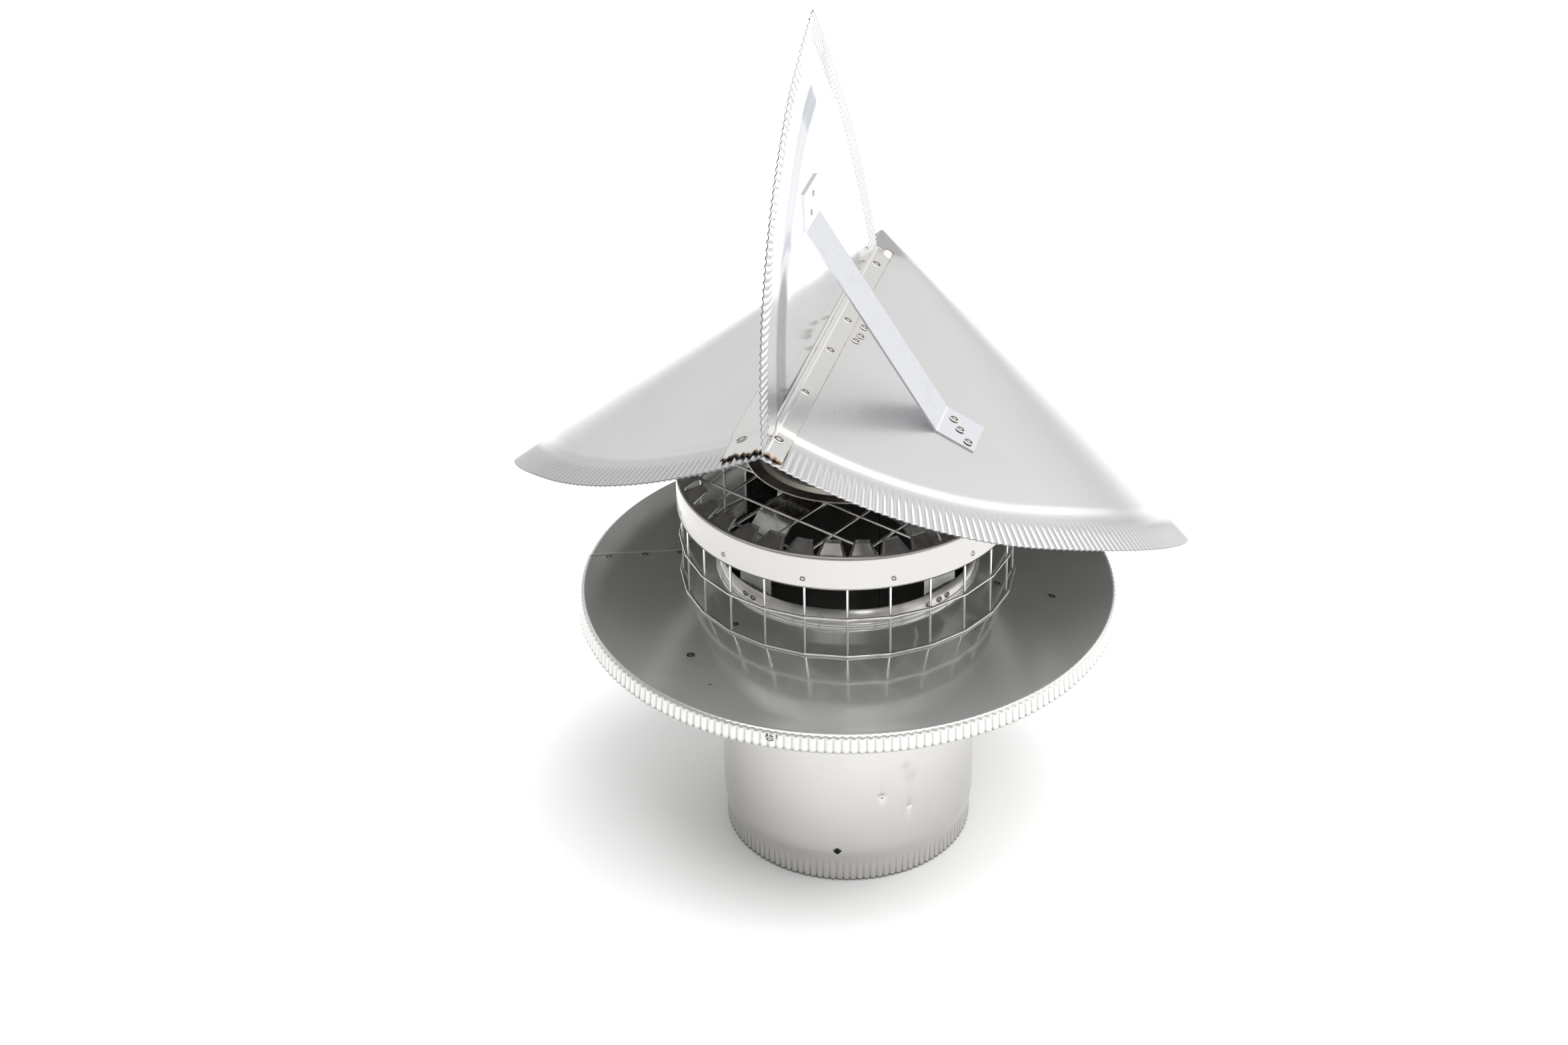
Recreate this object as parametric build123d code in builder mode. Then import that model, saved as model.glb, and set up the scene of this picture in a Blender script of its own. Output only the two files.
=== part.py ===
from build123d import *
from math import acos, cos, radians, sin, sqrt, tan
import os

# A wind-directional chimney cap: a slip-in collar with a base plate and a wire cage, and on it a hood
# that turns on an upright spindle and carries a vane, so its open front always faces away from the wind.
# The origin is on the collar's axis at its lower end, +Z is up, and at rest the hood opens towards -Y.

os.makedirs("parts", exist_ok=True)

# ---- stock ----
sheet = 0.6                 # wall of every pressed sheet piece
strap_width = 26.0          # flat strap of the pivot arches and of the brace
strap_wall = 1.5
wire_dia = 1.6
mesh_pitch = 25.4           # one inch welded mesh, in the cage and in its top

# ---- clearances ----
weld_gap = 0.02             # between round pieces that only touch at a spot weld
strap_fit = 0.05            # between a flat strap's edges and the round collar
bolt_clearance = 0.25       # radial, in holes that the spindle only passes through
running_clearance = 0.05    # radial, between the spindle and its bushes
end_float = 0.4             # axial play of the hood on its spindle

# ---- collar and base plate ----
collar_radius = 77.8        # outside
collar_height = 200.0
spigot_radius = 75.9        # outside of the crimped end that slips into a 6 inch flue
spigot_length = 18.0
spigot_shoulder = 3.0
plate_height = 185.6        # where the plate meets the collar
plate_radius = 162.0        # to the rounded fold
plate_drop = 15.2           # from the collar down to the fold
plate_fold = 3.0            # bend radius of the fold
skirt_height = 11.0         # crimped flange below the fold
skirt_flare = 1.4
neck_height = 5.0           # upstand welded to the collar

# ---- cage ----
base_turn = 15.0            # the base's own front, turned from -Y towards +X
cage_radius = 99.6          # where the uprights and the rings touch
upright_count = 25
band_height = 21.4
band_rise = 21.4            # from the middle ring's centre up to the band's lower edge
band_fold = 1.8
tab_count = 34
tab_length = 13.0
tab_slit = 1.2              # width of a slot at the fold
tab_gap = 6.4               # width of a slot between two tabs' inner ends
tab_root = 0.4              # a slot starts this far inside the fold
mesh_turn = -23.5           # the top mesh's own direction, from +X
mesh_margin = 2.0           # the top mesh's wires stop this far inside the uprights

# ---- pivot ----
arch_gap = 3.2              # between the upper arch and the top mesh
arch_shoulder = 19.0        # the arches' shoulders run in by this much and up by as much
arch_foot = 14.0            # the arches lie this far down the inside of the collar
arch_bend = 12.0
spindle_radius = 4.0
spindle_ends = 3.0          # thread showing past the end nuts
nut_flats = 13.0
nut_height = 6.5
nut_space = 3.3             # between the clamp nut and the support nut
washer_radius = 8.2
washer_wall = 1.6
hub_radius = 11.0
hub_bore = 8.0
hub_length = 65.0
bush_length = 16.0
bush_flange = 2.0

# ---- bearing pan ----
pan_radius = 60.5
pan_rim = 7.5               # flat rim outside the step
pan_step = 2.6
pan_neck = 5.0

# ---- hood ----
apex_height = 368.0
apex_setback = 80.5         # the apex is this far behind the spindle's axis
hood_slant = 258.0          # radius of the disc that the hood is rolled from
hood_half_angle = 51.8      # of the round back, about the hood's own axis
back_fall = 65.2            # of the line down the middle of its back, below level
ridge_fall = 1.8            # of the ridge towards its front end
seam_width = 27.0           # overlap of the right wing's sheet on the left wing
seam_setback = 4.0
seam_rear = 12.0

# ---- saddle, vane and brace ----
saddle_wall = 2.0
saddle_length = 60.0
saddle_half = 14.0
saddle_flap = 18.0
saddle_bend = 3.0
saddle_below = 8.0          # the saddle's floor is this far below the hub tube's top
saddle_behind = 18.0        # its rear edge is this far behind the spindle's axis
vane_height = 197.5
vane_front = 178.0          # the vane's front corner, ahead of the spindle's axis
vane_rear = 60.0            # its rear corner, behind the axis
vane_tip = 50.0             # its point, ahead of the axis
vane_front_radius = 218.0   # of its two curved edges
vane_rear_radius = 560.0
vane_lean = 1.8             # to the left of upright
vane_offset = 0.1
vane_flange = 12.0
vane_flange_setback = 6.0
brace_wall = 1.2
brace_ahead = 65.0          # the brace's middle, ahead of the spindle's axis
brace_foot_start = 71.0     # the foot lies on the right wing between these two
brace_foot_end = 92.5
brace_tab_low = 80.5        # the tab lies against the vane between these two heights
brace_tab_high = 103.0
brace_bend = 4.0

# ---- worked out once, used by several pieces ----
collar_inside = collar_radius - sheet
plate_slope = plate_drop / (plate_radius - collar_radius)
ring_radius = cage_radius + wire_dia / 2 + weld_gap
upright_radius = cage_radius - wire_dia / 2
ring_low = plate_height - plate_slope * (ring_radius - wire_dia / 2 - collar_radius) + wire_dia / 2
ring_middle = ring_low + mesh_pitch
ring_high = ring_middle + mesh_pitch
band_inside = ring_radius + wire_dia / 2 + weld_gap
band_radius = band_inside + sheet
band_low = ring_middle + band_rise
band_top = band_low + band_height
mesh_upper = band_top - sheet - wire_dia / 2
mesh_lower = mesh_upper - wire_dia - weld_gap
mesh_radius = upright_radius - wire_dia / 2 - mesh_margin
arch_upper_top = mesh_lower - wire_dia / 2 - arch_gap
arch_lower_top = arch_upper_top - strap_wall
clamp_nut_low = arch_upper_top
support_nut_low = clamp_nut_low + nut_height + nut_space
thrust_washer_low = support_nut_low + nut_height
rotor_low = thrust_washer_low + washer_wall
hub_low = rotor_low + bush_flange
hub_top = hub_low + hub_length
rotor_top = hub_top + bush_flange
cap_washer_low = rotor_top + end_float
cap_nut_low = cap_washer_low + washer_wall
base_washer_low = arch_lower_top - strap_wall - washer_wall
base_nut_low = base_washer_low - nut_height
through_radius = spindle_radius + bolt_clearance


def outward_plane(azimuth):
    """Upright plane through the axis: its x points outward at an angle from +X, its y up."""
    turn = radians(azimuth)
    return Plane(origin=(0, 0, 0), x_dir=(cos(turn), sin(turn), 0), z_dir=(sin(turn), -cos(turn), 0))


def bent_section(points, bend, wall, side):
    """Section of a bent sheet or strap: its path is one face, the wall lies on the given side."""
    with BuildSketch() as section:
        with BuildLine():
            path = FilletPolyline(*points, radius=bend)
            offset(path, amount=wall, side=side)
        make_face()
    return section.sketch


def keep(piece, name):
    """Names a finished piece and writes it."""
    piece.label = name
    export_step(piece, f"parts/{name}.step")


# ---- collar: rolled pipe with a reduced, crimped lower end ----
with BuildPart() as collar_pipe:
    with BuildSketch(Plane.XZ):
        with BuildLine():
            collar_wall = Polyline(
                (spigot_radius, 0),
                (spigot_radius, spigot_length),
                (collar_radius, spigot_length + spigot_shoulder),
                (collar_radius, collar_height),
            )
            offset(collar_wall, amount=sheet, side=Side.LEFT)
        make_face()
    revolve(axis=Axis.Z)
keep(collar_pipe.part, "collar_pipe")

# ---- base plate: shallow cone with an upstand at the collar and a skirt at the rim ----
with BuildPart() as base_plate:
    with BuildSketch(Plane.XZ):
        add(
            bent_section(
                [
                    (collar_radius + sheet, plate_height + neck_height),
                    (collar_radius + sheet, plate_height - plate_slope * sheet),
                    (plate_radius, plate_height - plate_drop),
                    (plate_radius + skirt_flare, plate_height - plate_drop - skirt_height),
                ],
                plate_fold / 2,
                sheet,
                Side.RIGHT,
            )
        )
    revolve(axis=Axis.Z)
keep(base_plate.part, "base_plate")

# ---- cage: upright wires inside three ring wires ----
upright_low = plate_height - plate_slope * (upright_radius - wire_dia / 2 - collar_radius)
with BuildPart() as cage_uprights:
    with BuildSketch(Plane.XY.offset(upright_low)):
        with PolarLocations(upright_radius, upright_count, start_angle=base_turn - 90):
            Circle(wire_dia / 2)
    extrude(amount=mesh_lower - upright_low)
keep(cage_uprights.part, "cage_uprights")

for ring_name, ring_height in (
    ("cage_ring_lower", ring_low),
    ("cage_ring_middle", ring_middle),
    ("cage_ring_upper", ring_high),
):
    with BuildPart() as cage_ring:
        with BuildSketch(Plane.XZ):
            with Locations((ring_radius, ring_height)):
                Circle(wire_dia / 2)
        revolve(axis=Axis.Z)
    keep(cage_ring.part, ring_name)

# ---- top band: plain ring whose upper edge is slit into tabs and folded in over the mesh ----
with BuildPart() as top_band:
    with BuildSketch(Plane.XZ):
        add(
            bent_section(
                [(band_radius, band_low), (band_radius, band_top), (band_radius - tab_length, band_top)],
                band_fold,
                sheet,
                Side.LEFT,
            )
        )
    revolve(axis=Axis.Z)
    slot_outer = band_radius - band_fold - tab_root
    slot_inner = band_radius - tab_length - 1
    with BuildSketch(Plane.XY.offset(band_top - 2 * sheet)):
        with PolarLocations(0, tab_count, start_angle=base_turn - 90):
            Polygon(
                (slot_inner, -tab_gap / 2),
                (slot_outer, -tab_slit / 2),
                (slot_outer, tab_slit / 2),
                (slot_inner, tab_gap / 2),
                align=None,
            )
    extrude(amount=3 * sheet, mode=Mode.SUBTRACT)
keep(top_band.part, "top_band")

# ---- top mesh: two layers of crossed wires under the tabs ----
rod_half_count = int(mesh_radius / mesh_pitch + 0.5)
rod_offsets = [(step + 0.5) * mesh_pitch for step in range(-rod_half_count, rod_half_count)]
for rods_name, rods_height, rods_turn in (
    ("top_mesh_over_wires", mesh_upper, mesh_turn),
    ("top_mesh_under_wires", mesh_lower, mesh_turn + 90),
):
    along = Vector(cos(radians(rods_turn)), sin(radians(rods_turn)), 0)
    across = Vector(-along.Y, along.X, 0)
    with BuildPart() as mesh_rods:
        for rod_offset in rod_offsets:
            middle = across * rod_offset + Vector(0, 0, rods_height)
            with BuildSketch(Plane(origin=middle, z_dir=along)):
                Circle(wire_dia / 2)
            extrude(amount=sqrt(mesh_radius**2 - rod_offset**2), both=True)
    keep(mesh_rods.part, rods_name)

# ---- pivot arches: two crossed straps that stand inside the collar and carry the spindle ----
arch_half = sqrt(collar_inside**2 - (strap_width / 2) ** 2) - strap_fit
for arch_name, arch_top, arch_turn in (
    ("pivot_arch_lower", arch_lower_top, base_turn - 45),
    ("pivot_arch_upper", arch_upper_top, base_turn + 45),
):
    with BuildPart() as pivot_arch:
        with BuildSketch(outward_plane(arch_turn)):
            add(
                bent_section(
                    [
                        (-arch_half, collar_height - arch_foot),
                        (-arch_half, arch_top - arch_shoulder),
                        (-arch_half + arch_shoulder, arch_top),
                        (arch_half - arch_shoulder, arch_top),
                        (arch_half, arch_top - arch_shoulder),
                        (arch_half, collar_height - arch_foot),
                    ],
                    arch_bend,
                    strap_wall,
                    Side.RIGHT,
                )
            )
        extrude(amount=strap_width / 2, both=True)
        with BuildSketch(Plane.XY.offset(arch_top - 2 * strap_wall)):
            Circle(through_radius)
        extrude(amount=3 * strap_wall, mode=Mode.SUBTRACT)
    keep(pivot_arch.part, arch_name)

# ---- spindle, its nuts and its washers ----
spindle_low = base_nut_low - spindle_ends
spindle_top = cap_nut_low + nut_height + spindle_ends
with BuildPart() as spindle:
    with BuildSketch(Plane.XY.offset(spindle_low)):
        Circle(spindle_radius)
    extrude(amount=spindle_top - spindle_low)
    chamfer(spindle.edges().filter_by(GeomType.CIRCLE), spindle_radius / 5)
keep(spindle.part, "spindle")

for nut_name, nut_low in (
    ("base_nut", base_nut_low),
    ("clamp_nut", clamp_nut_low),
    ("support_nut", support_nut_low),
    ("cap_nut", cap_nut_low),
):
    with BuildPart() as nut:
        with BuildSketch(Plane.XY.offset(nut_low)):
            RegularPolygon(nut_flats / 2, 6, major_radius=False)
            Circle(spindle_radius, mode=Mode.SUBTRACT)
        extrude(amount=nut_height)
    keep(nut.part, nut_name)

for washer_name, washer_low in (
    ("base_washer", base_washer_low),
    ("thrust_washer", thrust_washer_low),
    ("cap_washer", cap_washer_low),
):
    with BuildPart() as washer:
        with BuildSketch(Plane.XY.offset(washer_low)):
            Circle(washer_radius)
            Circle(through_radius, mode=Mode.SUBTRACT)
        extrude(amount=washer_wall)
    keep(washer.part, washer_name)

# ---- hub tube and its two flanged bushes ----
with BuildPart() as hub_tube:
    with BuildSketch(Plane.XY.offset(hub_low)):
        Circle(hub_radius)
        Circle(hub_bore, mode=Mode.SUBTRACT)
    extrude(amount=hub_length)
keep(hub_tube.part, "hub_tube")

bush_bore = spindle_radius + running_clearance
for bush_name, flange_low, body_low in (
    ("bush_lower", rotor_low, hub_low),
    ("bush_upper", hub_top, hub_top - bush_length),
):
    with BuildPart() as bush:
        with BuildSketch(Plane.XY.offset(flange_low)):
            Circle(hub_radius)
            Circle(bush_bore, mode=Mode.SUBTRACT)
        extrude(amount=bush_flange)
        with BuildSketch(Plane.XY.offset(body_low)):
            Circle(hub_bore)
            Circle(bush_bore, mode=Mode.SUBTRACT)
        extrude(amount=bush_length)
    keep(bush.part, bush_name)

# ---- bearing pan: stamped disc under the hub that keeps soot and rain off the lower bush ----
with BuildPart() as bearing_pan:
    with BuildSketch(Plane.XZ):
        add(
            bent_section(
                [
                    (pan_radius, rotor_low),
                    (pan_radius - pan_rim, rotor_low),
                    (pan_radius - pan_rim - pan_step, rotor_low + pan_step),
                    (hub_radius, rotor_low + pan_step),
                    (hub_radius, rotor_low + pan_step + pan_neck),
                ],
                sheet,
                sheet,
                Side.RIGHT,
            )
        )
    revolve(axis=Axis.Z)
keep(bearing_pan.part, "bearing_pan")

# ---- hood: a disc rolled to a cone about a tilted axis, with its front folded to a ridge ----
# Its section is a circle with two tangents that meet at the ridge. Every wall leans to the hood's axis by
# the half angle, so the inside is the same cone moved along the axis, and the rim is a sphere about the apex.
apex = Vector(0, apex_setback, apex_height)
hood_tilt = 180 - back_fall - hood_half_angle
hood_axis = Vector(0, -cos(radians(hood_tilt)), -sin(radians(hood_tilt)))
section_distance = 0.75 * hood_slant
section_circle = section_distance * tan(radians(hood_half_angle))
section_ridge = section_distance * tan(radians(hood_tilt - ridge_fall))
tangent_turn = acos(section_circle / section_ridge)
tangent_x = section_circle * sin(tangent_turn)
tangent_y = section_circle * cos(tangent_turn)
wall_shift = hood_axis * (sheet / sin(radians(hood_half_angle)))

ridge_forward = Vector(0, -cos(radians(ridge_fall)), -sin(radians(ridge_fall)))
ridge_up = Vector(0, -sin(radians(ridge_fall)), cos(radians(ridge_fall)))
tangent_point = hood_axis * section_distance + Vector(1, 0, 0) * tangent_x
tangent_point += Vector(0, -sin(radians(hood_tilt)), cos(radians(hood_tilt))) * tangent_y
wing_fall = -tangent_point.dot(ridge_up) / tangent_point.X
wing_lean = sqrt(1 + wing_fall**2)
sheet_rise = sheet * wing_lean


def ridge_plane(distance):
    """Plane square to the ridge at a distance from the apex: x to the left of -Y, y up, z forward."""
    return Plane(origin=apex + ridge_forward * distance, x_dir=(1, 0, 0), z_dir=ridge_forward)


def ahead(distance):
    """Distance along the ridge of a point that is this far ahead of the spindle's axis."""
    return (apex_setback + distance) / cos(radians(ridge_fall))


with BuildSketch(Plane(origin=apex + hood_axis * section_distance, x_dir=(1, 0, 0), z_dir=hood_axis)) as hood_section:
    Circle(section_circle)
    Polygon((0, section_ridge), (-tangent_x, tangent_y), (tangent_x, tangent_y), align=None)

with BuildPart() as hood_cone:
    loft([Vertex(*apex), hood_section.sketch.face()])
    inner_section = hood_section.sketch.face().moved(Location(wall_shift))
    loft([Vertex(*(apex + wall_shift)), inner_section], mode=Mode.SUBTRACT)
    with Locations(apex):
        Sphere(hood_slant, mode=Mode.INTERSECT)
    with BuildSketch(ridge_plane(seam_rear)):
        Polygon(
            (0, 0),
            (-seam_width, -seam_width * wing_fall),
            (-seam_width, -seam_width * wing_fall + sheet_rise),
            (0, sheet_rise),
            align=None,
        )
    extrude(amount=hood_slant - seam_setback - seam_rear)
keep(hood_cone.part, "hood_cone")

# ---- vane: a pointed sheet with two curved edges, its foot bent out to a flange on the right wing ----
vane_leaning_up = ridge_up * cos(radians(vane_lean)) - Vector(1, 0, 0) * sin(radians(vane_lean))
vane_left_face = Plane(
    origin=apex + ridge_forward * ahead(0) + Vector(vane_offset, 0, 0),
    x_dir=-ridge_forward,
    z_dir=(-ridge_forward).cross(vane_leaning_up),
)
with BuildPart() as vane:
    with BuildSketch(vane_left_face):
        with BuildLine():
            front_edge = RadiusArc((-vane_front, 0), (-vane_tip, vane_height), vane_front_radius)
            rear_edge = RadiusArc(front_edge @ 1, (vane_rear, 0), vane_rear_radius)
            Line(rear_edge @ 1, front_edge @ 0)
        make_face()
    extrude(amount=sheet)
    with BuildSketch(ridge_plane(ahead(-vane_rear))):
        Polygon(
            (vane_offset, -vane_offset * wing_fall),
            (vane_flange, -vane_flange * wing_fall),
            (vane_flange, -vane_flange * wing_fall + sheet_rise),
            (vane_offset, -vane_offset * wing_fall + sheet_rise),
            align=None,
        )
    extrude(amount=ahead(vane_front) - ahead(-vane_rear) - vane_flange_setback)
keep(vane.part, "vane")

# ---- brace: bent strap from the vane's right face down to the right wing ----
vane_right_face = vane_offset + sheet / cos(radians(vane_lean)) + weld_gap
with BuildPart() as vane_brace:
    with BuildSketch(ridge_plane(ahead(brace_ahead) - strap_width / 2)):
        add(
            bent_section(
                [
                    (vane_right_face - brace_tab_high * tan(radians(vane_lean)), brace_tab_high),
                    (vane_right_face - brace_tab_low * tan(radians(vane_lean)), brace_tab_low),
                    (brace_foot_start, -brace_foot_start * wing_fall),
                    (brace_foot_end, -brace_foot_end * wing_fall),
                ],
                brace_bend,
                brace_wall,
                Side.LEFT,
            )
        )
    extrude(amount=strap_width)
keep(vane_brace.part, "vane_brace")

# ---- saddle: bent bracket under the ridge, welded to both wings and to the hub tube ----
ridge_over_hub = apex_height - apex_setback * tan(radians(ridge_fall))
saddle_floor = hub_top - saddle_below - ridge_over_hub
saddle_top = -saddle_half * wing_fall - sheet_rise
saddle_edge = saddle_half + saddle_flap
with BuildPart() as saddle_bracket:
    with BuildSketch(ridge_plane(ahead(-saddle_behind))):
        add(
            bent_section(
                [
                    (saddle_edge, -saddle_edge * wing_fall - sheet_rise),
                    (saddle_half, saddle_top),
                    (saddle_half, saddle_floor),
                    (-saddle_half, saddle_floor),
                    (-saddle_half, saddle_top),
                    (-saddle_edge, -saddle_edge * wing_fall - sheet_rise),
                ],
                saddle_bend,
                saddle_wall,
                Side.LEFT,
            )
        )
    extrude(amount=saddle_length)
    with BuildSketch(Plane.XY.offset(hub_low)):
        Circle(hub_radius)
    extrude(amount=hub_length, mode=Mode.SUBTRACT)
keep(saddle_bracket.part, "saddle_bracket")
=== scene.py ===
import math
import random
from bisect import bisect_left
import bpy
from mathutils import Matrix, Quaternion, Vector


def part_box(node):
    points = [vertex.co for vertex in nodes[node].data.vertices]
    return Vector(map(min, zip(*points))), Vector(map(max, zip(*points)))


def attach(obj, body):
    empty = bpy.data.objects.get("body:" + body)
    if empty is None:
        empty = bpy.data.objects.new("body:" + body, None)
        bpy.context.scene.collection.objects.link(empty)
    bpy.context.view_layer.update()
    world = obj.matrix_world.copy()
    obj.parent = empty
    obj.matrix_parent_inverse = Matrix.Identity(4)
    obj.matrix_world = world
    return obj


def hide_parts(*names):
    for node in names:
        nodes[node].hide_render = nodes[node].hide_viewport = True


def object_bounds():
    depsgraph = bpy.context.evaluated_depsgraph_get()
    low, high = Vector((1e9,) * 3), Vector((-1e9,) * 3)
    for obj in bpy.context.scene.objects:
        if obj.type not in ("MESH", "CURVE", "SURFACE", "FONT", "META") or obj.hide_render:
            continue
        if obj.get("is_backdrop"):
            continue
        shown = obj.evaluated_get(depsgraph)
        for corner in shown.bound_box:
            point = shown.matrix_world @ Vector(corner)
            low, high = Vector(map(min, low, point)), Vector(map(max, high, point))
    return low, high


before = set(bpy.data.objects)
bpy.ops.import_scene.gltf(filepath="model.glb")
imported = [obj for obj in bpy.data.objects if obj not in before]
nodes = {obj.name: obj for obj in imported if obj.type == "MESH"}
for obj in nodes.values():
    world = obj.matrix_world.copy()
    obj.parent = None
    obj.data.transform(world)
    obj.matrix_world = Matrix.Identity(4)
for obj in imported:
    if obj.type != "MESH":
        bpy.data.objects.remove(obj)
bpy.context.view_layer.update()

# The cap is put together from the flue upwards. The base body holds all that stands still, and the hood body
# all that turns on the spindle. Lengths are in metres. Azimuths are in degrees from -Y, the front, towards +X,
# the right.


# ---- Collar ----
# A length of flue pipe rolled from thin stainless sheet, lapped and spot welded down its back.
# Its lower end is crimped so that it slips into the flue, and one small hole is punched through it.
SHEET = 0.0006
collar_radius = 0.0778
spigot_radius = 0.0759
collar_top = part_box("collar_pipe")[1].z
collar_ribs = 114
collar_rib_depth = 0.001
hole_azimuth, hole_height, hole_half = 10.1, 0.0232, 0.0027
dent_depth, dent_spread = 0.0011, 0.0012
dents = ((30.3, 0.0628, 1.0), (43.5, 0.0512, 0.75), (71.2, 0.0205, 0.6))  # azimuth, height, share of the depth


class Wire:
    """A socket in a node tree: Python's operators on it add Math nodes, and add() adds any other node."""

    def __init__(self, tree, socket=None):
        self.tree = tree
        self.socket = socket

    def add(self, kind, settings=None, sockets=None, output=0):
        node = self.tree.nodes.new(kind)
        for name, value in (settings or {}).items():
            if name == "stops":
                shades = node.color_ramp.elements
                while len(shades) < len(value):
                    shades.new(0.5)
                for stop, (place, colour) in zip(shades, value):
                    stop.position = place
                    stop.color = (*colour, 1)
            else:
                setattr(node, name, value)
        for name, value in (sockets or {}).items():
            if isinstance(value, Wire):
                self.tree.links.new(value.socket, node.inputs[name])
            else:
                node.inputs[name].default_value = value
        return Wire(self.tree, node.outputs[output])

    def math(self, operation, *terms, clamp=False):
        settings = {"operation": operation, "use_clamp": clamp}
        return self.add("ShaderNodeMath", settings, dict(enumerate(terms)))

    def __add__(self, other):
        return self.math("ADD", self, other)

    def __sub__(self, other):
        return self.math("SUBTRACT", self, other)

    def __rsub__(self, other):
        return self.math("SUBTRACT", other, self)

    def __mul__(self, other):
        return self.math("MULTIPLY", self, other)

    def __truediv__(self, other):
        return self.math("DIVIDE", self, other)

    __radd__ = __add__

    def between(self, low, high):
        """0 below low, 1 above high, smooth between them."""
        settings = {"interpolation_type": "SMOOTHSTEP"}
        return self.add("ShaderNodeMapRange", settings, {0: self, 1: low, 2: high})

    def tinted(self, plain, other):
        """Colour that goes from plain to other as this value goes from 0 to 1."""
        colour = [c if isinstance(c, Wire) else (*c, 1) for c in (plain, other)]
        sockets = {0: self, 6: colour[0], 7: colour[1]}
        return self.add("ShaderNodeMix", {"data_type": "RGBA"}, sockets, output=2)

    def feed(self, shader, name):
        self.tree.links.new(self.socket, shader.inputs[name])


def bare_metal(name):
    """A metal with nothing on it yet: its shader, its empty sheet of nodes and its place on the object."""
    metal = bpy.data.materials.new(name)
    metal.use_nodes = True
    shader = metal.node_tree.nodes["Principled BSDF"]
    shader.inputs["Metallic"].default_value = 1
    paper = Wire(metal.node_tree)
    return metal, shader, paper, paper.add("ShaderNodeTexCoord", output="Object")


def mill_sheet(name, tone, dull, spread, wave, grain_along=(1, 1, 0.02), smudges=()):
    """Stainless sheet from the mill: rolling grain, faint handling marks and slightly uneven reflections,
    with painted shade, tinted warm, in the grooves between its crimped ribs, a painted darker band of shade
    along a bead and a darker rim edge. Each smudge is a place and its width."""
    metal, shader, paper, place = bare_metal(name)
    clouds = paper.add("ShaderNodeTexNoise", {}, {"Vector": place, "Scale": 9, "Detail": 4})
    wipes = paper.add("ShaderNodeTexNoise", {}, {"Vector": place, "Scale": 30, "Detail": 5})
    stretched = paper.add("ShaderNodeMapping", {}, {"Vector": place, "Scale": grain_along})
    grain = paper.add("ShaderNodeTexNoise", {}, {"Vector": stretched, "Scale": 1400, "Detail": 2})
    dirt = clouds * 0.04
    mark = clouds.between(0.3, 0.8) * 0.6 + wipes.between(0.3, 0.9) * 0.15 + grain * 0.1
    groove = paper.add("ShaderNodeAttribute", {"attribute_name": "groove"}, output="Fac")
    track = paper.add("ShaderNodeAttribute", {"attribute_name": "track"}, output="Fac")
    for spot, width in smudges:
        away = paper.add("ShaderNodeVectorMath", {"operation": "DISTANCE"}, {0: place, 1: spot}, output="Value")
        dirt = dirt + (1 - (away + (wipes - 0.5) * width * 0.5).between(0, width)) * 0.3
    darker = tuple(c * 0.9 for c in tone)
    warm = (tone[0] * 0.4, tone[1] * 0.37, tone[2] * 0.34)
    # rolled is the dark colour of the painted shade along a bead and of the dark rim edge.
    rolled = tuple(c * share for c, share in zip(tone, (0.22, 0.25, 0.29)))
    plain = track.tinted(mark.tinted(tone, darker), rolled)
    # Painted shade: the grooves between crimped ribs are tinted warm and dark, together with the real dirt.
    dirt_and_groove_shade = paper.math("ADD", dirt * 0.8, groove * 0.6, clamp=True)
    dirt_and_groove_shade.tinted(plain, warm).feed(shader, "Base Color")
    (dull + mark * spread + dirt * 0.2 + groove * 0.1).feed(shader, "Roughness")
    swell = paper.add("ShaderNodeTexNoise", {}, {"Vector": place, "Scale": 16, "Detail": 1})
    bump = paper.add("ShaderNodeBump", {}, {"Strength": 1, "Distance": 1, "Height": swell * wave})
    bump.feed(shader, "Normal")
    return metal


satin_sheet = mill_sheet("satin_sheet", (0.61, 0.598, 0.58), 0.2, 0.1, 0.0003, smudges=(
    ((0.0545, -0.0566, 0.074), 0.008), ((0.0523, -0.0587, 0.082), 0.006)))


def group(name, inputs):
    """A new Geometry Nodes tree with named inputs; it gives its sheet of nodes and a Wire for each input."""
    tree = bpy.data.node_groups.new(name, "GeometryNodeTree")
    for label, kind in inputs.items():
        tree.interface.new_socket(label, in_out="INPUT", socket_type="NodeSocket" + kind)
    tree.interface.new_socket("Result", in_out="OUTPUT", socket_type="NodeSocketGeometry")
    start = tree.nodes.new("NodeGroupInput")
    return tree, Wire(tree), [Wire(tree, start.outputs[label]) for label in inputs]


def finish_tree(tree, paper, shape, metal):
    """Ends a tree with Realize Instances and Set Material."""
    real = paper.add("GeometryNodeRealizeInstances", {}, {"Geometry": shape})
    coated = paper.add("GeometryNodeSetMaterial", {}, {"Geometry": real, "Material": metal})
    end = tree.nodes.new("NodeGroupOutput")
    tree.links.new(coated.socket, end.inputs["Result"])
    return tree


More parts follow.
